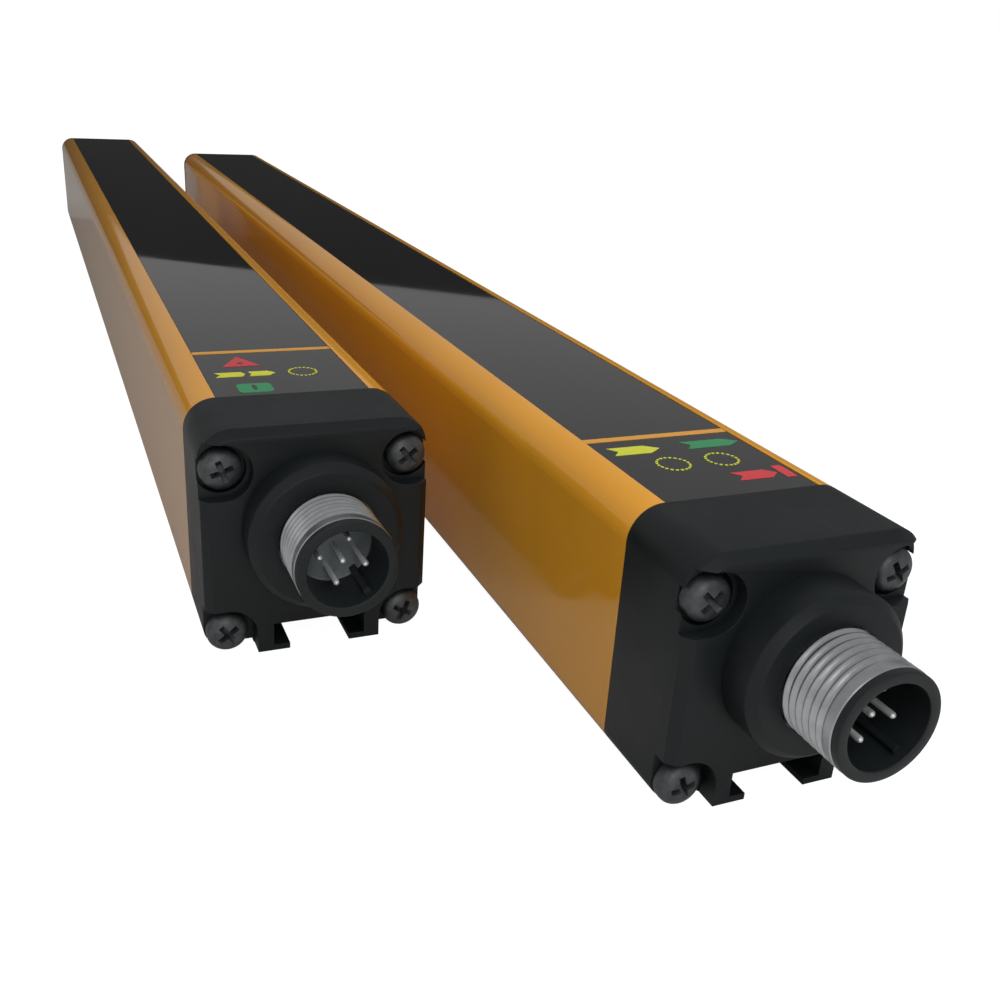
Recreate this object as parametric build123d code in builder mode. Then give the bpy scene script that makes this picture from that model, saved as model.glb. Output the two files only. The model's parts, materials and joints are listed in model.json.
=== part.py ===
from build123d import *
import os
from collections import namedtuple
from math import cos, radians, sin

os.makedirs("parts", exist_ok=True)

# Safety light curtain: an emitter bar and a receiver bar, side by side, connector ends facing -Y.
# Sizes in millimetres. X is across the bars, Y along them, Z up. Both bars rest on their slotted feet at Z = 0.

# How the two bars lie
bar_spacing = 38.5
bar_stagger = 44.0

# Housing profile, one extrusion with a window recess on top and a T-slot along the foot
profile_width = 28.0
profile_height = 29.5
profile_length = 322.0
profile_wall = 1.7
top_corner_radius = 4.0
bottom_corner_radius = 2.0
foot_width = 15.8
foot_drop = 0.65
slot_mouth = 7.6
slot_width = 11.6
slot_lip = 0.8
slot_height = 3.75
slot_roof = 1.4

# Guide ribs along the chamber walls, with a groove between them for the main board
rib_depth = 1.2
rib_thickness = 0.8
rib_rise = 1.2
board_thickness = 1.6
board_groove_gap = 0.2
board_side_gap = 0.3
board_end_gap = 1.5

# Front window, bonded on two seal strips, its face a hair below the edges of the profile
window_width = 19.6
window_thickness = 2.4
window_recess = 0.1
window_gap = 0.1
window_ledge = 1.6
ledge_thickness = 1.2
seal_thickness = 0.3

# Screws at the four corners of both ends, and the ports along the profile that they are driven into.
# Shanks, holes and ports are hidden and have few sides, so that the mesh stays light.
screw_margin = 2.7
upper_screw_drop = 5.1
lower_screw_height = 2.75
screw_radius = 1.45
screw_gap = 0.1
screw_length = 18.0
shank_sides = 8
port_wall = 1.2
head_radius = 2.55
head_height = 2.2

# Connector cap, with U-shaped screw pockets that open to the sides and a round boss for the connector
cap_depth = 13.0
cap_front_wall = 4.6
cap_edge = 1.0
pocket_radius = 3.5
pocket_depth = 1.7
counterbore_radius = 3.0
counterbore_depth = 1.0
boss_radius = 9.4
boss_height = 5.0
boss_edge = 0.9

# End plate
end_plate_thickness = 3.0
end_plate_edge = 0.6

# Connector, its axis a set drop below the top: threaded shell, insert with socket and key, contacts, board.
# The shell's neck sits behind a lip of the boss, and a relief carries the thread in front of the boss.
# Neck, relief and barrel have eight sides, so that none of them can turn.
connector_drop = 12.6
connector_reach = 13.2
thread_radius = 6.0
neck_radius = 6.4
relief_radius = 5.5
relief_margin = 0.1
neck_sides = 8
boss_lip = 0.5
barrel_radius = 5.2
barrel_sides = 8
shell_gap = 0.05
collar_thickness = 0.9
collar_margin = 0.08
socket_radius = 4.7
socket_depth = 9.8
insert_base = 8.4
key_width = 0.9
key_height = 0.8
key_setback = 0.9
contact_radius = 0.5
contact_circle = 2.8
contact_setback = 2.2
contact_angle = -15.0
contact_sides = 8
connector_board_size = 10.0
connector_board_thickness = 1.0

# Beams: one diode, one light tube and one lens for each
beam_pitch = 32.0
carrier_start = 27.0
carrier_end_gap = 5.0
carrier_side_gap = 0.2
carrier_gap = 0.7
carrier_flange = 2.0
tube_wall = 1.1
tube_depth = 9.0
tube_throat = 5.0
lens_strip_thickness = 1.4
lens_margin = 0.2
lens_rise = 0.7
lens_window_gap = 0.4
diode_size = 3.2
emitter_diode_height = 2.5
receiver_diode_height = 1.8

# Status lamps with their light guides, and the plug of the flexible lead
lamp_distance = 9.3
emitter_lamp_x = 3.3
receiver_lamp_x = [-3.1, 3.5]
lamp_size = 2.6
lamp_height = 0.9
guide_size = 3.2
guide_gap = 0.1
guide_lamp_gap = 0.6
holder_length = 6.0
header_width = 8.0
header_length = 4.2
header_height = 3.2
header_start = 1.9
lead_width = 6.0
lead_thickness = 0.3
lead_straight = 3.4
lead_drop = 4.3
lead_rise = 1.6
chip_size = 7.0
chip_thickness = 1.0
chip_distance = 40.0
chip_spacing = 18.0

Bar = namedtuple("Bar", "name x y lamps diode_height")

# Heights that several pieces share
chamber_floor = slot_height + slot_roof
chamber_width = profile_width - 2 * profile_wall
connector_height = profile_height - connector_drop
upper_screw_height = profile_height - upper_screw_drop
window_underside = profile_height - window_recess - window_thickness
seat_height = window_underside - seal_thickness
ledge_underside = seat_height - ledge_thickness
lower_rib = chamber_floor + rib_rise
board_underside = lower_rib + rib_thickness
board_top = board_underside + board_thickness
upper_rib = board_top + board_groove_gap
carrier_underside = upper_rib + rib_thickness
lens_top = window_underside - lens_window_gap
carrier_top = lens_top - lens_rise - lens_strip_thickness

# Screw ports in the corners. The optics fit between their blocks and between the window ledges.
screw_x = profile_width / 2 - screw_margin
hole_radius = screw_radius + screw_gap
port_block = hole_radius + port_wall
optics_room = min(window_width - 2 * window_ledge, 2 * (screw_x - port_block))
carrier_width = optics_room - 2 * carrier_gap
tube_mouth = carrier_width - 2 * tube_wall
lens_size = tube_mouth - 2 * lens_margin
beam_count = int((profile_length - carrier_start - carrier_end_gap) / beam_pitch)

# Distances along the bar, counted from the junction of cap and profile, negative towards the connector
cap_front = -cap_depth
boss_front = cap_front - boss_height
rim_front = cap_front - connector_reach
cavity_front = cap_front + cap_front_wall
neck_front = boss_front + boss_lip
relief_front = boss_front - relief_margin
insert_back = rim_front + socket_depth + insert_base
head_seat = cap_front + pocket_depth + counterbore_depth
far_end = profile_length + end_plate_thickness

# The pair is centred on the origin
pair_front = rim_front - bar_stagger
pair_back = far_end + head_height
bar_start = -(pair_front + pair_back) / 2
emitter = Bar("emitter", -bar_spacing / 2, bar_start, [emitter_lamp_x], emitter_diode_height)
receiver = Bar("receiver", bar_spacing / 2, bar_start - bar_stagger, receiver_lamp_x, receiver_diode_height)

upper_points = [(-screw_x, upper_screw_height), (screw_x, upper_screw_height)]
lower_points = [(-screw_x, lower_screw_height), (screw_x, lower_screw_height)]
screw_points = upper_points + lower_points


def section(bar, distance):
    # A plane across the bar, facing the connector end, with its origin under the middle of the foot
    return Plane((bar.x, bar.y + distance, 0), x_dir=(1, 0, 0), z_dir=(0, -1, 0))


def level(bar, height):
    # A flat plane over the bar, with its origin above the junction of cap and profile
    return Plane((bar.x, bar.y, height))


def save(piece, bar, name):
    piece.part.label = f"{bar.name}_{name}"
    export_step(piece.part, f"parts/{piece.part.label}.step")


def body_outline():
    # The rounded section above the foot
    with BuildSketch() as outline:
        with Locations((0, foot_drop)):
            Rectangle(profile_width, profile_height - foot_drop, align=(Align.CENTER, Align.MIN))
        fillet(outline.vertices().group_by(Axis.Y)[-1], top_corner_radius)
        fillet(outline.vertices().group_by(Axis.Y)[0], bottom_corner_radius)
    return outline.sketch


def foot_outline():
    # The foot that carries the T-slot
    with BuildSketch() as outline:
        Rectangle(foot_width, slot_height, align=(Align.CENTER, Align.MIN))
    return outline.sketch


def slot_outline():
    # The T-slot, a narrow mouth under a wider undercut
    with BuildSketch() as outline:
        Rectangle(slot_mouth, slot_height, align=(Align.CENTER, Align.MIN))
        with Locations((0, slot_lip)):
            Rectangle(slot_width, slot_height - slot_lip, align=(Align.CENTER, Align.MIN))
    return outline.sketch


def chamber_outline():
    # The chamber, which keeps clear of the blocks that hold the two upper screw ports
    with BuildSketch() as outline:
        with Locations((0, chamber_floor)):
            Rectangle(chamber_width, ledge_underside - chamber_floor, align=(Align.CENTER, Align.MIN))
        with Locations(*upper_points):
            Rectangle(2 * port_block, 2 * port_block, mode=Mode.SUBTRACT)
    return outline.sketch


def hole_outline():
    # The four screw holes
    with BuildSketch() as outline:
        with Locations(*screw_points):
            RegularPolygon(hole_radius, shank_sides, major_radius=False)
    return outline.sketch


def pocket_outline(points):
    # Two round pockets, each open to its side of the cap
    outward = profile_width / 2 - screw_x + 1
    with BuildSketch() as outline:
        for x, height in points:
            with Locations((x, height)):
                Circle(pocket_radius)
                Rectangle(outward, 2 * pocket_radius, align=(Align.MIN if x > 0 else Align.MAX, Align.CENTER))
    return outline.sketch


def lower_pocket_outline():
    # The lower pockets are open downwards too
    with BuildSketch() as outline:
        add(pocket_outline(lower_points))
        with Locations(*lower_points):
            Rectangle(2 * pocket_radius, 2 * lower_screw_height, align=(Align.CENTER, Align.MAX))
    return outline.sketch


body = body_outline()
foot = foot_outline()
slot = slot_outline()
chamber = chamber_outline()
holes = hole_outline()
upper_pockets = pocket_outline(upper_points)
lower_pockets = lower_pocket_outline()


def housing_profile(bar):
    groove_ribs = [
        (side * chamber_width / 2, height + rib_thickness / 2)
        for side in (-1, 1)
        for height in (lower_rib, upper_rib)
    ]
    with BuildPart() as profile:
        with BuildSketch(section(bar, profile_length)) as extrusion:
            add(body)
            add(foot)
            add(slot, mode=Mode.SUBTRACT)
            add(chamber, mode=Mode.SUBTRACT)
            add(holes, mode=Mode.SUBTRACT)
            with Locations((0, ledge_underside)):
                Rectangle(
                    window_width - 2 * window_ledge,
                    profile_height - ledge_underside,
                    align=(Align.CENTER, Align.MIN),
                    mode=Mode.SUBTRACT,
                )
            with Locations((0, seat_height)):
                Rectangle(
                    window_width + 2 * window_gap,
                    profile_height - seat_height,
                    align=(Align.CENTER, Align.MIN),
                    mode=Mode.SUBTRACT,
                )
            with Locations(*groove_ribs):
                Rectangle(2 * rib_depth, rib_thickness)
        extrude(amount=profile_length)
    save(profile, bar, "profile")


def front_window(bar):
    with BuildPart() as window:
        with BuildSketch(section(bar, profile_length)):
            with Locations((0, window_underside)):
                Rectangle(window_width, window_thickness, align=(Align.CENTER, Align.MIN))
        extrude(amount=profile_length)
    save(window, bar, "front_window")

    strip_x = (window_width - window_ledge) / 2
    with BuildPart() as seals:
        with BuildSketch(section(bar, profile_length)):
            with Locations((-strip_x, seat_height), (strip_x, seat_height)):
                Rectangle(window_ledge, seal_thickness, align=(Align.CENTER, Align.MIN))
        extrude(amount=profile_length)
    save(seals, bar, "window_seals")


def connector_cap(bar):
    with BuildPart() as cap:
        with BuildSketch(section(bar, 0)):
            add(body)
        extrude(amount=cap_depth)
        chamfer(cap.faces().sort_by(Axis.Y)[0].edges(), cap_edge)
        with BuildSketch(section(bar, 0)):
            add(foot)
        extrude(amount=cap_depth)
        with BuildSketch(section(bar, cap_front)):
            with Locations((0, connector_height)):
                Circle(boss_radius)
        extrude(amount=boss_height)
        chamfer(cap.faces().sort_by(Axis.Y)[0].edges(), boss_edge)

        # Chamber, T-slot and screw holes, cut from behind
        with BuildSketch(section(bar, 0)):
            add(chamber)
        extrude(amount=cap_depth - cap_front_wall, mode=Mode.SUBTRACT)
        with BuildSketch(section(bar, 0)):
            add(slot)
            add(holes)
        extrude(amount=cap_depth, mode=Mode.SUBTRACT)

        # Screw pockets, the upper ones with a round seat for the screw head
        with BuildSketch(section(bar, cap_front)):
            add(upper_pockets)
        extrude(amount=-pocket_depth, mode=Mode.SUBTRACT)
        with BuildSketch(section(bar, cap_front)):
            add(lower_pockets)
            with Locations(*upper_points):
                Circle(counterbore_radius)
        extrude(amount=-pocket_depth - counterbore_depth, mode=Mode.SUBTRACT)

        # Passage of the connector shell, with a lip in front of its neck
        with BuildSketch(section(bar, cavity_front)):
            with Locations((0, connector_height)):
                Circle(thread_radius + shell_gap)
        extrude(amount=cavity_front - boss_front, mode=Mode.SUBTRACT)
        with BuildSketch(section(bar, cavity_front)):
            with Locations((0, connector_height)):
                RegularPolygon(neck_radius + shell_gap, neck_sides, major_radius=False)
        extrude(amount=cavity_front - neck_front, mode=Mode.SUBTRACT)
    save(cap, bar, "connector_cap")


def end_plate(bar):
    with BuildPart() as plate:
        with BuildSketch(section(bar, far_end)):
            add(body)
        extrude(amount=end_plate_thickness)
        chamfer(plate.faces().sort_by(Axis.Y)[-1].edges(), end_plate_edge)
        with BuildSketch(section(bar, far_end)):
            add(foot)
        extrude(amount=end_plate_thickness)
        with BuildSketch(section(bar, far_end)):
            add(slot)
            add(holes)
        extrude(amount=end_plate_thickness, mode=Mode.SUBTRACT)
    save(plate, bar, "end_plate")


def screws(bar):
    # Eight identical pan-head screws, their heads outwards at both ends of the bar
    with BuildPart() as screw_set:
        for seat, turn in ((head_seat, 1), (far_end, -1)):
            with BuildSketch(section(bar, seat)):
                with Locations(*screw_points):
                    Circle(head_radius)
            extrude(amount=turn * head_height)
            with BuildSketch(section(bar, seat)):
                with Locations(*screw_points):
                    RegularPolygon(screw_radius, shank_sides, major_radius=False)
            extrude(amount=-turn * screw_length)
    save(screw_set, bar, "screws")


def connector(bar):
    with BuildPart() as shell:
        with BuildSketch(section(bar, cavity_front)):
            with Locations((0, connector_height)):
                RegularPolygon(neck_radius, neck_sides, major_radius=False)
        extrude(amount=cavity_front - neck_front)
        with BuildSketch(section(bar, neck_front)):
            with Locations((0, connector_height)):
                RegularPolygon(relief_radius, neck_sides, major_radius=False)
        extrude(amount=neck_front - relief_front)
        with BuildSketch(section(bar, relief_front)):
            with Locations((0, connector_height)):
                Circle(thread_radius)
        extrude(amount=relief_front - rim_front - collar_thickness)
        with BuildSketch(section(bar, cavity_front)):
            with Locations((0, connector_height)):
                RegularPolygon(barrel_radius + shell_gap, barrel_sides, major_radius=False)
        extrude(amount=cavity_front - rim_front, mode=Mode.SUBTRACT)
    save(shell, bar, "connector_shell")

    contact_points = [(0, connector_height)] + [
        (
            contact_circle * cos(radians(contact_angle + 90 * turn)),
            connector_height + contact_circle * sin(radians(contact_angle + 90 * turn)),
        )
        for turn in range(4)
    ]
    # The key stands midway between two contacts
    key_angle = contact_angle - 45
    with BuildPart() as insert:
        with BuildSketch(section(bar, insert_back)):
            with Locations((0, connector_height)):
                RegularPolygon(barrel_radius, barrel_sides, major_radius=False)
        extrude(amount=insert_back - rim_front)
        with BuildSketch(section(bar, rim_front + collar_thickness)):
            with Locations((0, connector_height)):
                Circle(thread_radius - collar_margin)
        extrude(amount=collar_thickness)
        with BuildSketch(section(bar, rim_front)):
            with Locations((0, connector_height)):
                Circle(socket_radius)
        extrude(amount=-socket_depth, mode=Mode.SUBTRACT)
        with BuildSketch(section(bar, rim_front + key_setback)):
            with Locations(Location((0, connector_height), key_angle)):
                with Locations((socket_radius - key_height, 0)):
                    Rectangle(2 * key_height, key_width, align=(Align.MIN, Align.CENTER))
            with Locations((0, connector_height)):
                Circle(socket_radius + shell_gap, mode=Mode.INTERSECT)
        extrude(amount=key_setback - socket_depth)
        with BuildSketch(section(bar, insert_back)):
            with Locations(*contact_points):
                RegularPolygon(contact_radius, contact_sides)
        extrude(amount=insert_base, mode=Mode.SUBTRACT)
    save(insert, bar, "connector_insert")

    with BuildPart() as contacts:
        with BuildSketch(section(bar, insert_back)):
            with Locations(*contact_points):
                RegularPolygon(contact_radius, contact_sides)
        extrude(amount=insert_back - rim_front - contact_setback)
    save(contacts, bar, "contact_pins")

    with BuildPart() as board:
        with BuildSketch(section(bar, insert_back)):
            with Locations((0, connector_height)):
                Rectangle(connector_board_size, connector_board_size)
        extrude(amount=-connector_board_thickness)
    save(board, bar, "connector_board")


def flex_lead(bar):
    start = insert_back + connector_board_thickness
    start_level = connector_height - lead_drop
    lead_level = board_top + lead_rise
    with BuildPart() as lead:
        with BuildSketch(Plane((bar.x, bar.y, 0), x_dir=(0, 1, 0), z_dir=(1, 0, 0))):
            with BuildLine():
                Polyline(
                    (start, start_level),
                    (start + lead_straight, start_level),
                    (start + lead_straight, lead_level),
                    (header_start, lead_level),
                )
            trace(line_width=lead_thickness)
        extrude(amount=lead_width / 2, both=True)
    save(lead, bar, "flex_lead")

    with BuildPart() as header:
        with BuildSketch(level(bar, board_top)):
            with Locations((0, header_start + header_length / 2)):
                Rectangle(header_width, header_length)
        extrude(amount=header_height)
        chamfer(header.edges().filter_by(Axis.X).group_by(Axis.Z)[-1], lead_thickness)
    save(header, bar, "board_header")


def beam_row():
    return GridLocations(0, beam_pitch, 1, beam_count)


def row_plane(bar, height):
    # A flat plane with its origin over the middle of the row of beams
    return level(bar, height).move(Location((0, carrier_start + beam_count * beam_pitch / 2, 0)))


def main_board(bar):
    with BuildPart() as board:
        with BuildSketch(level(bar, board_underside)):
            with Locations((0, profile_length / 2)):
                Rectangle(chamber_width - 2 * board_side_gap, profile_length - 2 * board_end_gap)
        extrude(amount=board_thickness)
    save(board, bar, "main_board")

    with BuildPart() as chips:
        with BuildSketch(level(bar, board_underside)):
            with Locations((0, chip_distance), (0, chip_distance + chip_spacing)):
                Rectangle(chip_size, chip_size)
        extrude(amount=-chip_thickness)
    save(chips, bar, "processor_chips")

    with BuildPart() as lamps:
        with BuildSketch(level(bar, board_top)):
            with Locations(*[(x, lamp_distance) for x in bar.lamps]):
                Rectangle(lamp_size, lamp_size)
        extrude(amount=lamp_height)
    save(lamps, bar, "status_lamps")


def beam_optics(bar):
    with BuildPart() as diodes:
        with BuildSketch(row_plane(bar, board_top)):
            with beam_row():
                Rectangle(diode_size, diode_size)
        extrude(amount=bar.diode_height)
    save(diodes, bar, "beam_diodes")

    row_length = beam_count * beam_pitch
    with BuildPart() as carrier:
        with BuildSketch(row_plane(bar, carrier_underside)):
            Rectangle(chamber_width - 2 * carrier_side_gap, row_length)
        extrude(amount=carrier_flange)
        with BuildSketch(row_plane(bar, carrier_underside)):
            Rectangle(carrier_width, row_length)
        extrude(amount=carrier_top - carrier_underside)
        # Each light tube is wide under its lens and narrow over its diode
        with BuildSketch(row_plane(bar, carrier_top)):
            with beam_row():
                Rectangle(tube_mouth, tube_mouth)
        extrude(amount=-tube_depth, mode=Mode.SUBTRACT)
        with BuildSketch(row_plane(bar, carrier_underside)):
            with beam_row():
                Rectangle(tube_throat, tube_throat)
        extrude(amount=carrier_top - carrier_underside, mode=Mode.SUBTRACT)
    save(carrier, bar, "optics_carrier")

    with BuildPart() as lenses:
        with BuildSketch(row_plane(bar, carrier_top)):
            Rectangle(carrier_width, row_length)
        extrude(amount=lens_strip_thickness)
        with BuildSketch(row_plane(bar, carrier_top + lens_strip_thickness)):
            with beam_row():
                Rectangle(lens_size, lens_size)
        extrude(amount=lens_rise)
    save(lenses, bar, "lens_strip")


def light_guides(bar):
    guide_points = [(x, lamp_distance) for x in bar.lamps]
    opening = guide_size + 2 * guide_gap
    with BuildPart() as holder:
        with BuildSketch(level(bar, carrier_underside)):
            with Locations((0, lamp_distance)):
                Rectangle(chamber_width - 2 * carrier_side_gap, holder_length)
        extrude(amount=carrier_flange)
        with BuildSketch(level(bar, carrier_underside)):
            with Locations((0, lamp_distance)):
                Rectangle(carrier_width, holder_length)
        extrude(amount=carrier_top - carrier_underside)
        with BuildSketch(level(bar, carrier_underside)):
            with Locations(*guide_points):
                Rectangle(opening, opening)
        extrude(amount=carrier_top - carrier_underside, mode=Mode.SUBTRACT)
    save(holder, bar, "light_guide_holder")

    guide_bottom = board_top + lamp_height + guide_lamp_gap
    with BuildPart() as guides:
        with BuildSketch(level(bar, guide_bottom)):
            with Locations(*guide_points):
                Rectangle(guide_size, guide_size)
        extrude(amount=window_underside - guide_gap - guide_bottom)
    save(guides, bar, "light_guides")


for bar in (emitter, receiver):
    housing_profile(bar)
    front_window(bar)
    connector_cap(bar)
    end_plate(bar)
    screws(bar)
    connector(bar)
    flex_lead(bar)
    main_board(bar)
    beam_optics(bar)
    light_guides(bar)
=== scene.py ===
import json
from math import cos, pi, radians, sin

import bmesh
import bpy
from mathutils import Euler, Matrix, Vector


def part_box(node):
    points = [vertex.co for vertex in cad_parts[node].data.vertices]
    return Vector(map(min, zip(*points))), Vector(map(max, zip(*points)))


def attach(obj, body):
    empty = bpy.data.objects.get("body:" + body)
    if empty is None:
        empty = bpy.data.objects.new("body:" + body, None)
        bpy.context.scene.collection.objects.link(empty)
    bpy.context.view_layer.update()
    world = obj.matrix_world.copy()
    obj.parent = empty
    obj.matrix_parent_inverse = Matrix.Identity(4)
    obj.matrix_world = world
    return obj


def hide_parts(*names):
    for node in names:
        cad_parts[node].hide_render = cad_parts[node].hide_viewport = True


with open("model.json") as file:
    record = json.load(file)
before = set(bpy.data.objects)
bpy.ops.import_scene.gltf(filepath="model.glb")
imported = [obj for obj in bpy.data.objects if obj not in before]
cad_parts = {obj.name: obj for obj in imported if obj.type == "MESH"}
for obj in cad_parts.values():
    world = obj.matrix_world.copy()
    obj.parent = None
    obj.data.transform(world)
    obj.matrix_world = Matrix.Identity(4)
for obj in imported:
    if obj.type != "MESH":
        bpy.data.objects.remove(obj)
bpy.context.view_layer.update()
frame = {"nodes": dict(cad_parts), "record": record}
mm = 0.001
print("frame loaded")


# node trees: a socket that takes part in Python sums, and one method that makes any other node

class Wire:
    def __init__(self, graph, socket):
        self.graph = graph
        self.socket = socket

    def __add__(self, other):
        return self.graph.sum("ADD", self, other)

    def __radd__(self, other):
        return self.graph.sum("ADD", other, self)

    def __sub__(self, other):
        return self.graph.sum("SUBTRACT", self, other)

    def __rsub__(self, other):
        return self.graph.sum("SUBTRACT", other, self)

    def __mul__(self, other):
        return self.graph.sum("MULTIPLY", self, other)

    def __rmul__(self, other):
        return self.graph.sum("MULTIPLY", other, self)

    def __truediv__(self, other):
        return self.graph.sum("DIVIDE", self, other)

    def __rtruediv__(self, other):
        return self.graph.sum("DIVIDE", other, self)

    def __gt__(self, other):
        return self.graph.sum("GREATER_THAN", self, other)


class Graph:
    def __init__(self, tree):
        self.tree = tree

    def node(self, kind, settings=None, sockets=None, result=0):
        made = self.tree.nodes.new(kind)
        for key, value in (settings or {}).items():
            setattr(made, key, value)
        for key, value in (sockets or {}).items():
            if isinstance(value, Wire):
                self.tree.links.new(value.socket, made.inputs[key])
            else:
                made.inputs[key].default_value = value
        if len(made.outputs):
            return Wire(self, made.outputs[result])

    def sum(self, operation, *terms):
        return self.node("ShaderNodeMath", {"operation": operation}, dict(enumerate(terms)))

    def split(self, vector):
        parts = self.node("ShaderNodeSeparateXYZ", sockets={0: vector})
        return [Wire(self, output) for output in parts.socket.node.outputs]


class Paint(Graph):
    def __init__(self, name):
        self.material = bpy.data.materials.new(name)
        self.material.use_nodes = True
        super().__init__(self.material.node_tree)
        self.tree.nodes.clear()
        self.place = self.node("ShaderNodeTexCoord", result="Object")

    def noise(self, size, detail, along=(1, 1, 1)):
        # size is the width of one blot in millimetres; along stretches the blots
        scale = tuple(1 / (size * mm * stretch) for stretch in along)
        stretched = self.node("ShaderNodeMapping", sockets={"Vector": self.place, "Scale": scale})
        return self.node("ShaderNodeTexNoise", sockets={
            "Vector": stretched, "Scale": 1.0, "Detail": detail, "Roughness": 0.55})

    def ramp(self, value, low, high, start=0.0, end=1.0):
        return self.node("ShaderNodeMapRange", sockets={
            "Value": value, "From Min": low, "From Max": high, "To Min": start, "To Max": end})

    def blend(self, factor, first, second):
        made = self.node("ShaderNodeMix", {"data_type": "RGBA"}, {"Factor": factor}).socket.node
        for key, colour in (("A", first), ("B", second)):
            socket = [s for s in made.inputs if s.name == key and s.type == "RGBA"][0]
            if isinstance(colour, Wire):
                self.tree.links.new(colour.socket, socket)
            else:
                socket.default_value = (*colour, 1)
        return Wire(self, [s for s in made.outputs if s.type == "RGBA"][0])

    def bump(self, height, depth, strength, under=None):
        # depth in millimetres; under is a bump that lies below this one
        sockets = {"Height": height, "Distance": depth * mm, "Strength": strength}
        if under:
            sockets["Normal"] = under
        return self.node("ShaderNodeBump", sockets=sockets)

    def surface(self, shader):
        self.node("ShaderNodeOutputMaterial", sockets={"Surface": shader})
        return self.material

    def finish(self, sockets):
        return self.surface(self.node("ShaderNodeBsdfPrincipled", sockets=sockets))


# finishes: colours from dark to light, roughness from low to high, widths and depths in millimetres

enamelLook = {
    "dark": (0.562, 0.248, 0.0168), "light": (0.607, 0.270, 0.0196), "rough": (0.05, 0.09),
    "cloud": 60, "haze": 14, "peel": 1.2, "peelDepth": 0.004,
    "drawn": 1.6, "drawnLength": 60, "drawnDepth": 0.002, "relief": 0.3}


def enamel(look):
    paint = Paint("enamel")
    cloud = paint.noise(look["cloud"], detail=2)
    peel = paint.noise(look["peel"], detail=1)
    drawn = paint.noise(look["drawn"], detail=1, along=(1, look["drawnLength"], 1))
    colour = paint.blend(paint.ramp(cloud, 0.35, 0.65), look["dark"], look["light"])
    rough = paint.ramp(paint.noise(look["haze"], detail=3), 0.3, 0.7, *look["rough"])
    lines = paint.bump(drawn, look["drawnDepth"], look["relief"])
    normal = paint.bump(peel, look["peelDepth"], look["relief"], under=lines)
    return paint.finish({"Base Color": colour, "Roughness": rough, "Normal": normal})


windowLook = {
    "dark": (0.0032, 0.0032, 0.0034), "light": (0.0044, 0.0044, 0.0046), "rough": (0.015, 0.035),
    "smear": 24, "smearAlong": (0.7, 2.2, 1),
    "hairline": 0.35, "hairlineLength": 160, "hairlineDepth": 0.0004, "relief": 0.15}


def windowGloss(look):
    paint = Paint("windowGloss")
    smears = paint.noise(look["smear"], detail=5, along=look["smearAlong"])
    hairlines = paint.noise(look["hairline"], detail=2, along=(1, look["hairlineLength"], 1))
    colour = paint.blend(paint.ramp(smears, 0.35, 0.7), look["dark"], look["light"])
    rough = paint.ramp(smears, 0.3, 0.75, *look["rough"])
    normal = paint.bump(hairlines, look["hairlineDepth"], look["relief"])
    return paint.finish({"Base Color": colour, "Roughness": rough, "Normal": normal})


plasticLook = {
    "cloud": 9, "rub": 2.4, "rubAlong": (1, 2.5, 1), "rubFrom": 0.68, "rubGloss": 0.03, "relief": 0.6}


def grainedPlastic(name, dark, light, rough, grain, depth, specular=0.5):
    look = plasticLook
    paint = Paint(name)
    grains = paint.noise(grain, detail=2)
    cloud = paint.noise(look["cloud"], detail=4)
    rubbed = paint.noise(look["rub"], detail=5, along=look["rubAlong"]) > look["rubFrom"]
    colour = paint.blend(paint.ramp(cloud, 0.3, 0.7), dark, light)
    roughness = paint.ramp(cloud, 0.3, 0.7, *rough) - rubbed * look["rubGloss"]
    return paint.finish({"Base Color": colour, "Roughness": roughness, "Specular IOR Level": specular,
                         "Normal": paint.bump(grains, depth, look["relief"])})


metalLook = {"line": 0.12, "patch": 0.6, "relief": 0.5}      # patch is a share of the tarnish's width


def metal(name, dark, light, rough, tarnish, depth, lineLength=1, metallic=1.0):
    paint = Paint(name)
    tarnished = paint.noise(tarnish, detail=4)
    lines = paint.noise(metalLook["line"], detail=2, along=(1, lineLength, 1))
    colour = paint.blend(paint.ramp(tarnished, 0.35, 0.7), dark, light)
    roughness = paint.ramp(paint.noise(tarnish * metalLook["patch"], detail=3), 0.3, 0.7, *rough)
    return paint.finish({"Base Color": colour, "Roughness": roughness, "Metallic": metallic,
                         "Normal": paint.bump(lines, depth, metalLook["relief"])})


clearLook = {"dark": (0.62, 0.66, 0.68), "light": (0.72, 0.76, 0.78), "rough": (0.08, 0.16), "ripple": 4,
             "depth": 0.01, "relief": 0.2}


def clearPlastic(look):
    paint = Paint("lensClear")
    ripple = paint.noise(look["ripple"], detail=2)
    colour = paint.blend(paint.ramp(ripple, 0.3, 0.7), look["dark"], look["light"])
    return paint.finish({"Base Color": colour, "Roughness": paint.ramp(ripple, 0.3, 0.7, *look["rough"]),
                         "Normal": paint.bump(ripple, look["depth"], look["relief"])})


inkLook = {"thin": 0.86, "cover": 0.5, "rough": (0.35, 0.5), "depth": 0.004, "relief": 0.4}


def ink(name, colour):
    paint = Paint(name)
    cover = paint.noise(inkLook["cover"], detail=3)
    thin = tuple(part * inkLook["thin"] for part in colour)
    return paint.finish({"Base Color": paint.blend(paint.ramp(cover, 0.3, 0.6), thin, colour),
                         "Roughness": paint.ramp(cover, 0.3, 0.7, *inkLook["rough"]),
                         "Normal": paint.bump(cover, inkLook["depth"], inkLook["relief"])})


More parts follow.
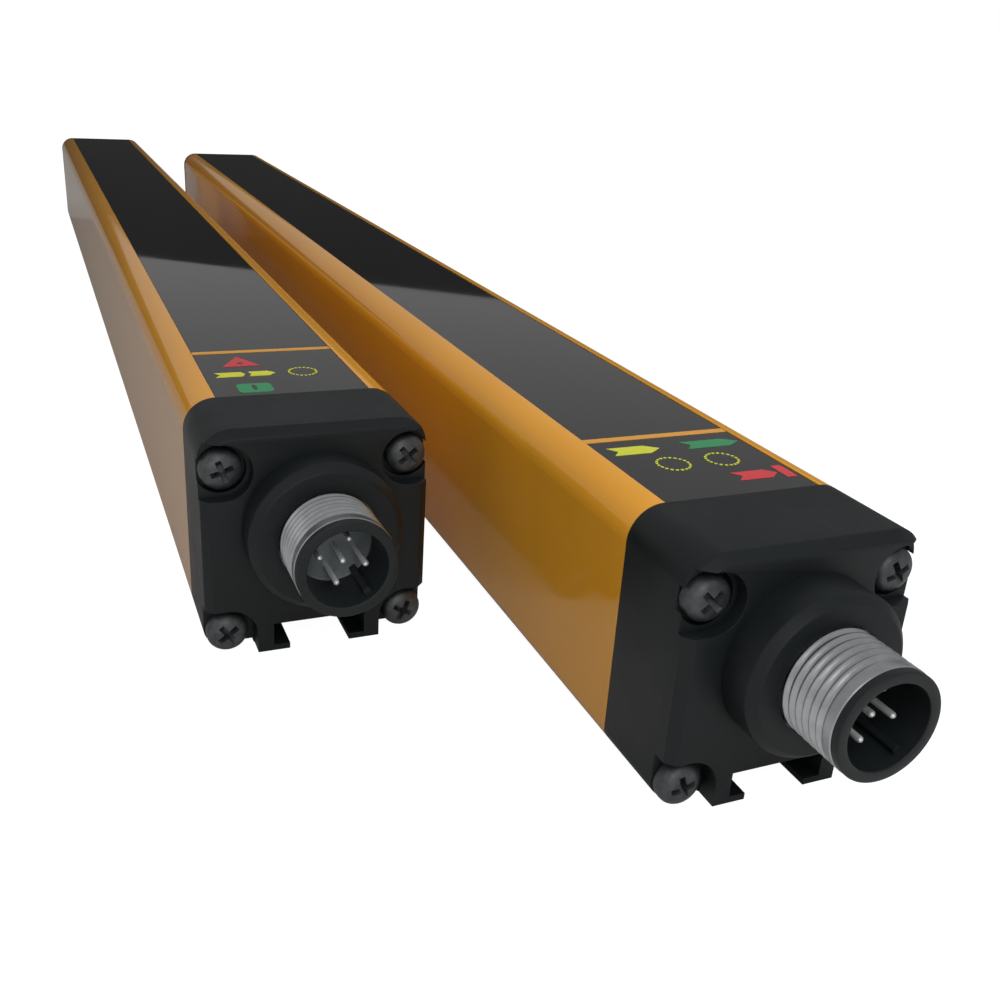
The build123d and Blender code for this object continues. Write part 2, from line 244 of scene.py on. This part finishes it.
finishes = {                                   # the record's slots, then the socket's floor (a lighter copy of the insert's plastic, painted light) and the inks
    "enamel": enamel(enamelLook),
    "window": windowGloss(windowLook),
    "cap_plastic": grainedPlastic("capPlastic", (0.0042, 0.0058, 0.0064), (0.0056, 0.0074, 0.0081),
                                  rough=(0.42, 0.52), grain=0.25, depth=0.008, specular=0.36),
    "insert_plastic": grainedPlastic("insertPlastic", (0.0066, 0.0085, 0.0092), (0.0085, 0.0104, 0.0111),
                                     rough=(0.32, 0.44), grain=0.2, depth=0.006, specular=0.36),
    "seal_rubber": grainedPlastic("sealRubber", (0.012, 0.012, 0.012), (0.02, 0.02, 0.02),
                                  rough=(0.6, 0.75), grain=0.4, depth=0.02),
    "circuit_board": grainedPlastic("circuitBoard", (0.015, 0.10, 0.045), (0.02, 0.14, 0.06),
                                    rough=(0.25, 0.4), grain=1.2, depth=0.01),
    "flex_film": grainedPlastic("flexFilm", (0.30, 0.13, 0.02), (0.38, 0.18, 0.03),
                                rough=(0.2, 0.3), grain=0.8, depth=0.005),
    "chip_plastic": grainedPlastic("chipPlastic", (0.014, 0.014, 0.015), (0.02, 0.02, 0.021),
                                   rough=(0.5, 0.6), grain=0.25, depth=0.01),
    "lamp_body": grainedPlastic("lampBody", (0.6, 0.58, 0.5), (0.7, 0.68, 0.6),
                                rough=(0.25, 0.35), grain=0.5, depth=0.004),
    "diode_body": grainedPlastic("diodeBody", (0.02, 0.016, 0.02), (0.035, 0.03, 0.035),
                                 rough=(0.15, 0.25), grain=0.5, depth=0.004),
    "carrier_plastic": grainedPlastic("carrierPlastic", (0.011, 0.011, 0.012), (0.016, 0.016, 0.017),
                                      rough=(0.6, 0.7), grain=0.4, depth=0.02),
    "lens_clear": clearPlastic(clearLook),
    "black_steel": metal("blackSteel", (0.078, 0.083, 0.086), (0.115, 0.121, 0.125),
                         rough=(0.36, 0.48), tarnish=0.9, depth=0.004, metallic=0.8),
    "shell_metal": metal("shellMetal", (0.50, 0.52, 0.53), (0.60, 0.62, 0.63),
                         rough=(0.32, 0.40), tarnish=1.6, depth=0.001, lineLength=12),
    "contact_metal": metal("contactMetal", (0.76, 0.76, 0.75), (0.84, 0.84, 0.83),
                           rough=(0.16, 0.22), tarnish=3, depth=0.0003, metallic=0.7),
    # the socket's floor: the insert's black plastic painted light grey, a painted light standing in for the
    # light the floor catches
    "contactFace": grainedPlastic("contactFace", (0.140, 0.160, 0.168), (0.180, 0.202, 0.210),
                                  rough=(0.2, 0.3), grain=0.3, depth=0.004),
    "red": ink("redInk", (0.49, 0.034, 0.041)),
    "yellow": ink("yellowInk", (0.52, 0.54, 0.034)),
    "green": ink("greenInk", (0.026, 0.207, 0.082)),
    "orange": ink("orangeInk", (0.58, 0.267, 0.037)),
}
slotOf = {part["node"]: part["material_slot"] for part in frame["record"]["subparts"]}
for name, node in frame["nodes"].items():
    for slot in node.material_slots:
        slot.material = finishes[slotOf[name]]
print("finishes assigned")


# meshes: sizes in millimetres, angles in degrees

weldDistance = 0.0001
sharpAngle = 35


def link(name, mesh):
    made = bpy.data.objects.new(name, mesh)
    bpy.context.collection.objects.link(made)
    return made


def shaded(mesh, sharp):
    # soft shading up to the sharp angle
    mesh.shade_smooth()
    mesh.set_sharp_from_angle(angle=radians(sharp))
    return mesh


def closed(name, shape, sharp=sharpAngle):
    # one mesh from a bmesh, with its seams welded and its faces turned outwards
    bmesh.ops.remove_doubles(shape, verts=shape.verts, dist=weldDistance * mm)
    bmesh.ops.recalc_face_normals(shape, faces=shape.faces)
    mesh = bpy.data.meshes.new(name)
    shape.to_mesh(mesh)
    shape.free()
    return shaded(mesh, sharp)


def added(shape, part):
    # a closed part put into a bmesh
    mesh = closed("part", part)
    shape.from_mesh(mesh)
    bpy.data.meshes.remove(mesh)


def turned(outline, steps, ring=False):
    # turned about the Y axis from points of (distance along, radius); ring joins the last to the first
    shape = bmesh.new()
    rows = []
    for along, radius in outline:
        count = steps if radius > 0 else 1
        rows.append([shape.verts.new((radius * mm * cos(2 * pi * i / steps), along * mm,
                                      radius * mm * sin(2 * pi * i / steps))) for i in range(count)])
    for first, second in zip(rows, rows[1:] + (rows[:1] if ring else [])):
        for i in range(steps):
            j = (i + 1) % steps
            corners = [first[i % len(first)], first[j % len(first)],
                       second[j % len(second)], second[i % len(second)]]
            shape.faces.new(list(dict.fromkeys(corners)))
    return shape


def prism(outline, low, high, upright=False):
    # an outline raised from low to high: in Z, or in Y where upright
    shape = bmesh.new()
    ends = []
    for level in (low, high):
        places = [(x, level, y) if upright else (x, y, level) for x, y in outline]
        ends.append([shape.verts.new(Vector(place) * mm) for place in places])
        shape.faces.new(ends[-1])
    for i in range(len(outline)):
        j = (i + 1) % len(outline)
        shape.faces.new([ends[0][i], ends[0][j], ends[1][j], ends[1][i]])
    return shape


def arc(centre, radius, start, end, steps):
    angles = [radians(start + (end - start) * i / steps) for i in range(steps + 1)]
    return [(centre[0] + radius * cos(angle), centre[1] + radius * sin(angle)) for angle in angles]


def moved(mesh, place):
    mesh.transform(Matrix.Translation(place))
    return mesh


def plainMesh(holder):
    # what an object's modifiers make of it; the object itself goes
    graph = bpy.context.evaluated_depsgraph_get()
    made = bpy.data.meshes.new_from_object(holder.evaluated_get(graph))
    bpy.data.objects.remove(holder)
    return made


def finished(mesh, bar, name, slot, *nodes):
    # a piece of one bar: on the body, standing in for the CAD nodes that are named
    piece = link(f"{bar}_{name}", mesh)
    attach(piece, "root")
    if nodes:
        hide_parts(*[f"{bar}_{node}" for node in nodes])


# geometry nodes: a rule with named inputs, grown into a plain mesh

class Rule(Graph):
    def __init__(self, name, **inputs):
        super().__init__(bpy.data.node_groups.new(name, "GeometryNodeTree"))
        self.tree.interface.new_socket("Geometry", in_out="OUTPUT", socket_type="NodeSocketGeometry")
        for key, kind in {"Geometry": "Geometry", **inputs, "Finish": "Material"}.items():
            self.tree.interface.new_socket(key, in_out="INPUT", socket_type="NodeSocket" + kind)
        entry = self.tree.nodes.new("NodeGroupInput")
        self.given = {socket.name: Wire(self, socket) for socket in entry.outputs if socket.name}

    def moved(self, geometry, shift=(0, 0, 0), turn=(0, 0, 0)):
        return self.node("GeometryNodeTransform", sockets={
            "Geometry": geometry, "Translation": shift, "Rotation": turn})

    def vector(self, x, y, z):
        return self.node("ShaderNodeCombineXYZ", sockets={"X": x, "Y": y, "Z": z})

    def eased(self, value, low, high, start=0.0, end=1.0):
        return self.node("ShaderNodeMapRange", {"interpolation_type": "SMOOTHSTEP"}, {
            "Value": value, "From Min": low, "From Max": high, "To Min": start, "To Max": end})

    def join(self, *parts):
        made = self.tree.nodes.new("GeometryNodeJoinGeometry")
        for part in parts:
            self.tree.links.new(part.socket, made.inputs[0])
        return Wire(self, made.outputs[0])

    def onPoints(self, points, instance, turn=(0, 0, 0)):
        return self.node("GeometryNodeInstanceOnPoints", sockets={
            "Points": points, "Instance": instance, "Rotation": turn})

    def close(self, geometry):
        real = self.node("GeometryNodeRealizeInstances", sockets={"Geometry": geometry})
        coated = self.node("GeometryNodeSetMaterial", sockets={
            "Geometry": real, "Material": self.given["Finish"]})
        self.node("NodeGroupOutput", sockets={0: coated})
        return self

    def grow(self, mesh, values, sharp=sharpAngle):
        # the tree worked out on a mesh
        holder = link("growing", mesh)
        rule = holder.modifiers.new("rule", "NODES")
        rule.node_group = self.tree
        for item in self.tree.interface.items_tree:
            if item.in_out == "INPUT" and item.name in values:
                rule[item.identifier] = values[item.name]
        return shaded(plainMesh(holder), sharp)


# where the bars are, read from the frame

def box(bar, node):
    low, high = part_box(f"{bar}_{node}")
    return Vector(low), Vector(high)


bars = ("emitter", "receiver")
middle = {}
junction = {}                                  # where the cap meets the profile
farEnd = {}
rim = {}                                       # middle of the connector's front
windowTop = {}
for bar in bars:
    low, high = box(bar, "profile")
    middle[bar] = (low.x + high.x) / 2
    junction[bar] = low.y
    farEnd[bar] = box(bar, "end_plate")[1].y
    windowTop[bar] = box(bar, "front_window")[1].z
    low, high = box(bar, "connector_insert")
    rim[bar] = Vector((middle[bar], low.y, (low.z + high.z) / 2))


# threaded connector shell: a turned blank, then the thread cut by a rule

shellSize = {
    "bore": 5.25, "crest": 5.97, "bevel": 0.12, "front": 0.9, "band": 1.0, "neckStart": 8.7, "neck": 6.4,
    "back": 17.8, "pitch": 1.0, "depth": 0.38, "runOut": 0.6, "skin": 0.3, "rowsPerTurn": 14, "steps": 128}


def threadRule():
    rule = Rule("threadRule", Pitch="Float", Depth="Float", RunOut="Float", Start="Float", End="Float",
                OuterFrom="Float")
    given = rule.given
    x, y, z = rule.split(rule.node("GeometryNodeInputPosition"))
    radius = rule.sum("SQRT", x * x + z * z)
    turns = y / given["Pitch"] + rule.sum("ARCTAN2", z, x) / (2 * pi)
    wave = rule.sum("PINGPONG", turns * 2, 1.0)                        # 0 in the root, 1 on the crest
    flank = rule.eased(wave, 0.0, 1.0)
    runOut = given["Pitch"] * given["RunOut"]
    entry = rule.eased(y, given["Start"], given["Start"] + runOut)
    leave = rule.eased(y, given["End"] - runOut, given["End"], 1.0, 0.0)
    outside = radius > given["OuterFrom"]
    cut = given["Depth"] * (1 - flank) * entry * leave * outside
    inwards = rule.node("ShaderNodeVectorMath", {"operation": "SCALE"}, {
        0: rule.vector(x / radius, 0.0, z / radius), "Scale": cut * -1})
    return rule.close(rule.node("GeometryNodeSetPosition", sockets={
        "Geometry": given["Geometry"], "Offset": inwards}))


def shellBlank(size):
    front, crest = size["front"], size["crest"]
    threadStart = front + size["band"]
    rows = int((size["neckStart"] - threadStart) / size["pitch"] * size["rowsPerTurn"])
    outline = [(front, size["bore"]), (front, crest - size["bevel"]), (front + size["bevel"], crest)]
    outline += [(threadStart + (size["neckStart"] - threadStart) * i / rows, crest) for i in range(rows + 1)]
    outline += [(size["neckStart"], size["neck"]), (size["back"], size["neck"]), (size["back"], size["bore"])]
    return closed("shellBlank", turned(outline, size["steps"], ring=True))


threads = threadRule()
for bar in bars:
    size = shellSize
    mesh = threads.grow(shellBlank(size), {
        "Pitch": size["pitch"] * mm, "Depth": size["depth"] * mm, "RunOut": size["runOut"],
        "Start": (size["front"] + size["band"]) * mm, "End": size["neckStart"] * mm,
        "OuterFrom": (size["bore"] + size["skin"]) * mm, "Finish": finishes["shell_metal"]})
    finished(moved(mesh, rim[bar]), bar, "threadedShell", "shell_metal", "connector_shell")
print("connector shells threaded")


# connector insert: collar, socket and key; contacts with rounded tips set by a rule

insertSize = {
    "collar": 5.92, "collarDepth": 0.88, "barrel": 5.2, "length": 18.2, "socket": 4.7, "depth": 7.1,
    "edge": 0.14, "edgeSteps": 3, "steps": 96,
    "keyAngle": -54, "keyWidth": 0.9, "keyHeight": 0.8, "keyFrom": 0.9, "keyEdge": 0.15, "keySunk": 0.2}
contactSize = {"radius": 0.38, "circle": 2.8, "turn": 15, "from": 2.2, "to": 18.2, "tipStep": 15, "steps": 24,
               "sharp": 60}


def keyRib(size):
    half, edge = size["keyWidth"] / 2, size["keyEdge"]
    inner, root = size["socket"] - size["keyHeight"], size["socket"] + size["keySunk"]
    profile = [(root, -half), (root, half), (inner + edge, half), (inner, half - edge), (inner, edge - half),
               (inner + edge, -half)]
    angle = radians(size["keyAngle"])
    outline = [(x * cos(angle) - y * sin(angle), x * sin(angle) + y * cos(angle)) for x, y in profile]
    return prism(outline, size["keyFrom"], size["depth"] + size["keySunk"], upright=True)


def insertMesh(size):
    edge, steps = size["edge"], size["edgeSteps"]
    socket, depth = size["socket"], size["depth"]
    outline = [(depth, 0), (depth, socket - edge), (depth - edge, socket)]
    outline += [(edge - a, socket + edge - b) for a, b in arc((0, 0), edge, 0, 90, steps)][::-1]
    outline += arc((edge, size["collar"] - edge), edge, 180, 90, steps)
    outline += [(size["collarDepth"], size["collar"]), (size["collarDepth"], size["barrel"]),
                (size["length"], size["barrel"]), (size["length"], 0)]
    shape = turned(outline, size["steps"])
    added(shape, keyRib(size))
    return closed("insert", shape)


def contactRule():
    rule = Rule("contactRule", Circle="Float", Turn="Float")
    given = rule.given
    ring = rule.node("GeometryNodeMeshCircle", sockets={"Vertices": 4, "Radius": given["Circle"]})
    upright = rule.moved(ring, turn=rule.vector(pi / 2, given["Turn"], 0.0))
    centre = rule.node("GeometryNodePoints", sockets={"Count": 1})
    return rule.close(rule.onPoints(rule.join(upright, centre), given["Geometry"]))


def contactMesh(size):
    radius, start = size["radius"], size["from"]
    tip = [(start + radius * (1 - cos(radians(angle))), radius * sin(radians(angle)))
           for angle in range(0, 91, size["tipStep"])]
    outline = tip + [(size["to"], radius), (size["to"], 0)]
    return closed("contact", turned(outline, size["steps"]), size["sharp"])


contacts = contactRule()
for bar in bars:
    mesh = insertMesh(insertSize)
    mesh.materials.append(finishes["insert_plastic"])
    mesh.materials.append(finishes["contactFace"])
    for face in mesh.polygons:                 # the socket's floor, where the contacts stand, gets the lighter finish that is painted light on it
        along = face.center.y / mm
        out = Vector((face.center.x, face.center.z)).length / mm
        if abs(along - insertSize["depth"]) < insertSize["edge"] and out < insertSize["socket"]:
            face.material_index = 1
    finished(moved(mesh, rim[bar]), bar, "contactInsert", "insert_plastic", "connector_insert")
    mesh = contacts.grow(contactMesh(contactSize), {
        "Circle": contactSize["circle"] * mm, "Turn": radians(contactSize["turn"]),
        "Finish": finishes["contact_metal"]}, contactSize["sharp"])
    finished(moved(mesh, rim[bar]), bar, "contacts", "contact_metal", "contact_pins")
print("inserts and contacts made")


# screws: one domed head with a cross recess, set at both ends of each bar by a rule

screwSize = {
    "head": 2.55, "height": 2.2, "shoulder": 0.75, "rimEdge": 0.12,
    "domeAngles": (0, 8, 16, 25, 34, 43, 52, 61, 69, 76, 82, 87, 90), "domePower": 0.75, "sidePower": 0.9,
    "shank": 1.42, "length": 18, "tipEdge": 0.5, "steps": 48, "sharp": 40}
recessSize = {"reach": 1.5, "width": 0.72, "depth": 1.3, "foot": 0.5, "footWidth": 0.7, "above": 0.4,
              "flareReach": 1.25, "flareWidth": 1.1}
screwPlace = {"fromSide": 2.7, "lowest": 2.75, "fromTop": 5.1, "frontSeat": -10.3, "seed": 3}


def recessWing(size, headHeight):
    # one wing of the cross: wide above the head, narrow at its foot
    corners = ((-1, -1), (1, -1), (1, 1), (-1, 1))
    half, reach = size["width"] / 2, size["reach"]
    top, foot = -headHeight - size["above"], -headHeight + size["depth"]
    rings = [[(x * reach * size["flareReach"], top, z * half * size["flareWidth"]) for x, z in corners],
             [(x * size["foot"], foot, z * (half * size["footWidth"])) for x, z in corners]]
    wing = bmesh.new()
    loops = [[wing.verts.new(Vector(place) * mm) for place in ring] for ring in rings]
    for loop in loops:
        wing.faces.new(loop)
    for i in range(4):
        j = (i + 1) % 4
        wing.faces.new([loops[0][i], loops[0][j], loops[1][j], loops[1][i]])
    return closed("wing", wing)


def screwMesh(size):
    height, head, edge = size["height"], size["head"], size["rimEdge"]
    shank, length, tip = size["shank"], size["length"], size["tipEdge"]
    outline = []
    for angle in size["domeAngles"]:
        rise = (height - size["shoulder"]) * cos(radians(angle)) ** size["domePower"]
        outline.append((-size["shoulder"] - rise, head * sin(radians(angle)) ** size["sidePower"]))
    outline += [(-edge, head), (0, head - edge), (0, shank), (length - tip, shank), (length, shank - tip),
                (length, 0)]
    screw = link("screw", closed("screw", turned(outline, size["steps"])))
    cutters = []
    for turn in (0, 90):
        mesh = recessWing(recessSize, height)
        mesh.transform(Matrix.Rotation(radians(turn), 4, "Y"))
        cutters.append(link("wing", mesh))
        cut = screw.modifiers.new("recess", "BOOLEAN")
        cut.operation = "DIFFERENCE"
        cut.solver = "EXACT"
        cut.object = cutters[-1]
    mesh = plainMesh(screw)
    for cutter in cutters:
        bpy.data.objects.remove(cutter)
    return mesh


def screwRule():
    rule = Rule("screwRule", Across="Float", Rise="Float", Lowest="Float", Front="Float", Back="Float",
                Centre="Float", Seed="Int")
    given = rule.given
    corners = rule.node("GeometryNodeMeshGrid", sockets={
        "Size X": given["Across"], "Size Y": given["Rise"], "Vertices X": 2, "Vertices Y": 2})
    height = given["Lowest"] + given["Rise"] / 2
    spin = rule.node("FunctionNodeRandomValue", {"data_type": "FLOAT"}, {
        3: 2 * pi, "Seed": given["Seed"]}, result=1)                   # socket 3 is the highest value
    ends = []
    for key, turn in (("Front", 0.0), ("Back", pi)):
        points = rule.moved(corners, rule.vector(given["Centre"], given[key], height), (pi / 2, 0, 0))
        ends.append(rule.onPoints(points, given["Geometry"], rule.vector(0.0, spin, turn)))
    return rule.close(rule.join(*ends))


setScrews = screwRule()
screw = screwMesh(screwSize)
for seed, bar in enumerate(bars, screwPlace["seed"]):
    low, high = box(bar, "profile")
    rise = high.z - (screwPlace["lowest"] + screwPlace["fromTop"]) * mm
    mesh = setScrews.grow(screw.copy(), {
        "Across": high.x - low.x - 2 * screwPlace["fromSide"] * mm, "Rise": rise,
        "Lowest": screwPlace["lowest"] * mm, "Front": junction[bar] + screwPlace["frontSeat"] * mm,
        "Back": farEnd[bar], "Centre": middle[bar], "Seed": seed, "Finish": finishes["black_steel"]},
        screwSize["sharp"])
    finished(mesh, bar, "cornerScrews", "black_steel", "screws")
print("screws set")


# caps and end plates: the moulded parts with their edges rounded

mouldSize = {
    "connectorCap": {"node": "connector_cap", "chamfers": 0.5, "corners": 0.16},
    "endPlate": {"node": "end_plate", "chamfers": 0.3, "corners": 0.14},
}
roundSize = {"merge": 0.002, "flat": 0.6, "roundFrom": 30, "chamferTo": 60, "segments": 4, "sharp": 32}


def rounded(node, chamfers, corners):
    # a merged copy of a CAD mesh; chamfered edges get the first radius, the other outer edges the second
    size = roundSize
    shape = bmesh.new()
    shape.from_mesh(frame["nodes"][node].data)
    bmesh.ops.remove_doubles(shape, verts=shape.verts, dist=size["merge"] * mm)
    bmesh.ops.dissolve_limit(shape, angle_limit=radians(size["flat"]), verts=shape.verts, edges=shape.edges)
    weight = shape.edges.layers.float.new("bevel_weight_edge")
    for edge in shape.edges:
        angle = edge.calc_face_angle(0)
        if edge.is_convex and angle > radians(size["roundFrom"]):
            edge[weight] = 1.0 if angle < radians(size["chamferTo"]) else corners / chamfers
    mesh = bpy.data.meshes.new(node + "_rounded")
    shape.to_mesh(mesh)
    shape.free()
    holder = link("rounding", mesh)
    bevel = holder.modifiers.new("edges", "BEVEL")
    bevel.limit_method = "WEIGHT"
    bevel.width = chamfers * mm
    bevel.segments = size["segments"]
    made = shaded(plainMesh(holder), size["sharp"])
    made.materials.clear()
    made.materials.append(finishes["cap_plastic"])
    return made


for bar in bars:
    for name, size in mouldSize.items():
        mesh = rounded(f"{bar}_{size['node']}", size["chamfers"], size["corners"])
        finished(mesh, bar, name, "cap_plastic", size["node"])
print("caps and end plates rounded")


# print on the windows: thin plates of ink, placed from the bar's middle and from the cap's edge

def notchedArrow(left, right, low, high, notch, head):
    centre = (low + high) / 2
    return [(left, low), (right - head, low), (right, centre), (right - head, high), (left, high),
            (left + notch, centre)]


def roundedBar(left, right, low, high, radius, steps=5):
    points = []
    for quarter, (x, y) in enumerate(((right - radius, high - radius), (left + radius, high - radius),
                                      (left + radius, low + radius), (right - radius, low + radius))):
        points += arc((x, y), radius, 90 * quarter, 90 * (quarter + 1), steps)
    return points


def ellipse(x, y, across, along, steps=32):
    return [(x + across * cos(2 * pi * i / steps), y + along * sin(2 * pi * i / steps)) for i in range(steps)]


inkSize = {
    "thickness": 0.04, "dotTop": 0.064, "lineWidth": 1.2, "ringStroke": 0.3, "ringDash": 0.36, "ringDashes": 20}
prints = {
    "emitter": {
        "redMarks": [[(-6.75, 13.2), (-1.7, 13.2), (-4.15, 17.9)]],
        "yellowMarks": [notchedArrow(-8.4, -4.4, 8.45, 10.45, 0.7, 0.5),
                        notchedArrow(-3.95, -0.4, 8.45, 10.45, 0.3, 0.9)],
        "greenMarks": [roundedBar(-6.55, -2.1, 1.3, 5.1, 0.75)],
        "darkDots": [ellipse(-4.2, 14.6, 0.42, 0.42), ellipse(-4.35, 3.4, 0.32, 1.1)],
        "lampRings": [(3.30, 9.35, 1.84)],     # across, along, radius
        "orangeLine": 20.5,
    },
    "receiver": {
        "redMarks": [notchedArrow(1.9, 7.6, 3.45, 5.75, 1.0, 1.3),
                     [(7.95, 3.1), (9.3, 3.1), (9.3, 6.5), (7.95, 6.5)]],
        "yellowMarks": [notchedArrow(-8.3, -1.8, 13.65, 16.0, 1.0, 1.7)],
        "greenMarks": [notchedArrow(1.55, 9.3, 13.7, 16.0, 1.0, 1.9)],
        "darkDots": [],
        "lampRings": [(-2.88, 9.85, 1.92), (3.65, 9.85, 1.92)],
        "orangeLine": 18.75,
    },
}
inkOf = {"redMarks": "red", "yellowMarks": "yellow", "greenMarks": "green"}


def ringRule():
    # a ring of short plates, each turned to follow the circle
    rule = Rule("ringRule", Radius="Float", Stroke="Float", Dash="Float", Thickness="Float", Count="Int")
    given = rule.given
    circle = rule.node("GeometryNodeMeshCircle", sockets={
        "Vertices": given["Count"], "Radius": given["Radius"]})
    dash = rule.node("GeometryNodeMeshCube", sockets={
        "Size": rule.vector(given["Stroke"], given["Dash"], given["Thickness"])})
    x, y = rule.split(rule.node("GeometryNodeInputPosition"))[:2]
    return rule.close(rule.onPoints(circle, dash, rule.vector(0.0, 0.0, rule.sum("ARCTAN2", y, x))))


def plates(name, outlines, low, high, finish):
    shape = bmesh.new()
    for outline in outlines:
        added(shape, prism(outline, low, high))
    mesh = closed(name, shape)
    mesh.materials.append(finishes[finish])
    return mesh


def printed(mesh, bar, name, slot="window"):
    finished(moved(mesh, (middle[bar], junction[bar], windowTop[bar])), bar, name, slot)


dashedRing = ringRule()
for bar in bars:
    thickness = inkSize["thickness"]
    for name, finish in inkOf.items():
        printed(plates(name, prints[bar][name], 0, thickness, finish), bar, name)
    dots = prints[bar]["darkDots"]
    if dots:
        printed(plates("dots", dots, thickness, inkSize["dotTop"], "window"), bar, "darkDots")
    for number, (x, y, radius) in enumerate(prints[bar]["lampRings"], 1):
        mesh = dashedRing.grow(bpy.data.meshes.new("ring"), {
            "Radius": radius * mm, "Stroke": inkSize["ringStroke"] * mm, "Dash": inkSize["ringDash"] * mm,
            "Thickness": thickness * mm, "Count": inkSize["ringDashes"], "Finish": finishes["yellow"]})
        printed(moved(mesh, Vector((x, y, thickness / 2)) * mm), bar, f"lampRing{number}")
    low, high = box(bar, "front_window")
    half = (high.x - low.x) / 2 / mm
    near = prints[bar]["orangeLine"] - inkSize["lineWidth"] / 2
    far = prints[bar]["orangeLine"] + inkSize["lineWidth"] / 2
    stripe = [(-half, near), (half, near), (half, far), (-half, far)]
    printed(plates("stripe", [stripe], 0, thickness, "orange"), bar, "orangeLine", "enamel")
print("window print laid")


# stage, light and camera, in metres

studio = {"skyLight": 0.32, "reflected": 0.36, "white": 1.4, "whiteShare": 0.7, "glossShare": 0.1,
          "glossFloor": 0.46, "floorDark": 0.40, "floorLight": 0.43, "floorCloud": 160, "floorWide": 60}
wallSize = {"turn": 37.2, "away": 4.0, "wide": 14.0, "top": 0.94, "dark": 0.036, "light": 0.043, "cloud": 300}


def grey(level):
    return (level, level, level)


def seenRays(graph):
    # 1 for each kind of ray that shows the backdrop: to the camera, in a reflection, through glass
    rays = graph.node("ShaderNodeLightPath").socket.node.outputs
    return [Wire(graph, rays[key]) for key in ("Is Camera Ray", "Is Glossy Ray", "Is Transmission Ray")]


def floorPaint():
    paint = Paint("paleFloor")
    cloud = paint.ramp(paint.noise(studio["floorCloud"], detail=3), 0.3, 0.7)
    colour = paint.blend(cloud, grey(studio["floorDark"]), grey(studio["floorLight"]))
    camera, glossy, through = seenRays(paint)
    colour = paint.blend(glossy, colour, grey(studio["glossFloor"]))
    matt = paint.node("ShaderNodeBsdfDiffuse", sockets={"Color": colour})
    glow = paint.node("ShaderNodeEmission", sockets={
        "Color": (1, 1, 1, 1), "Strength": camera * studio["white"] + through + glossy * studio["reflected"]})
    share = camera * studio["whiteShare"] + through + glossy * studio["glossShare"]
    return paint.surface(paint.node("ShaderNodeMixShader", sockets={0: share, 1: matt, 2: glow}))


def paleFloor():
    shape = bmesh.new()
    bmesh.ops.create_grid(shape, x_segments=1, y_segments=1, size=studio["floorWide"] / 2)
    mesh = closed("floor", shape)
    mesh.materials.append(floorPaint())
    link("floor", mesh)


def darkWall(size):
    # a low dark wall behind the bars, which shows only in gloss
    paint = Paint("darkWall")
    colour = paint.blend(paint.noise(size["cloud"], detail=2), grey(size["dark"]), grey(size["light"]))
    glow = paint.node("ShaderNodeEmission", sockets={"Color": colour, "Strength": 1.0})
    half, top, away = size["wide"] / 2, size["top"], size["away"]
    mesh = bpy.data.meshes.new("darkWall")
    corners = [(-half, away, 0), (half, away, 0), (half, away, top), (-half, away, top)]
    mesh.from_pydata(corners, [], [(0, 1, 2, 3)])
    mesh.transform(Matrix.Rotation(-radians(size["turn"]), 4, "Z"))
    mesh.materials.append(paint.surface(glow))
    wall = link("darkWall", mesh)
    for rays in ("camera", "diffuse", "shadow", "transmission"):
        setattr(wall, "visible_" + rays, False)


def paleSky():
    world = bpy.data.worlds.new("studio")
    bpy.context.scene.world = world
    world.use_nodes = True
    sky = Graph(world.node_tree)
    sky.tree.nodes.clear()
    camera, glossy, through = seenRays(sky)
    lit = 1 - camera - glossy - through
    strength = camera + through + glossy * studio["reflected"] + lit * studio["skyLight"]
    background = sky.node("ShaderNodeBackground", sockets={"Color": (1, 1, 1, 1), "Strength": strength})
    sky.node("ShaderNodeOutputWorld", sockets={"Surface": background})


paleFloor()
paleSky()
darkWall(wallSize)

lamps = {                                      # the mirrored ones show in gloss
    "sideLight": {"place": (-1.0, -0.5, 0.5), "target": (0, -0.05, 0.02),
                  "size": (0.9, 0.6), "power": 0.5, "mirrored": True},
    "nearLight": {"place": (-0.08, -0.38, 0.30), "target": (0, -0.12, 0.02),
                  "size": (0.22, 0.22), "power": 1.0, "mirrored": False},
    "rightLight": {"place": (0.16, -0.28, 0.36), "target": (0, -0.1, 0.02),
                   "size": (0.25, 0.25), "power": 0.55, "mirrored": False},
    "frontLight": {"place": (-0.12, -1.0, 0.30), "target": (0, -0.15, 0.02),
                   "size": (0.4, 0.4), "power": 0.9, "mirrored": True},
    "backLight": {"place": (0.8, 0.6, 0.3), "target": (0, 0, 0.02),
                  "size": (0.5, 0.3), "power": 3.4, "mirrored": False},
}
for name, values in lamps.items():
    lamp = bpy.data.lights.new(name, "AREA")
    lamp.shape = "RECTANGLE"
    lamp.size, lamp.size_y = values["size"]
    lamp.energy = values["power"]
    softbox = link(name, lamp)
    softbox.location = values["place"]
    aim = Vector(values["target"]) - Vector(values["place"])
    softbox.rotation_euler = aim.to_track_quat("-Z", "Y").to_euler()
    softbox.visible_camera = False
    softbox.visible_glossy = values["mirrored"]

view = {"place": (-0.04865, -0.25949, 0.07201), "angles": (67.092, -3.568, -22.804),
        "lens": 38.835, "near": 0.005}
camera = link("camera", bpy.data.cameras.new("camera"))
camera.location = view["place"]
camera.rotation_euler = Euler([radians(angle) for angle in view["angles"]])
camera.data.lens = view["lens"]
camera.data.clip_start = view["near"]
bpy.context.scene.camera = camera
bpy.context.scene.view_settings.view_transform = "Standard"
print("stage, light and camera set")
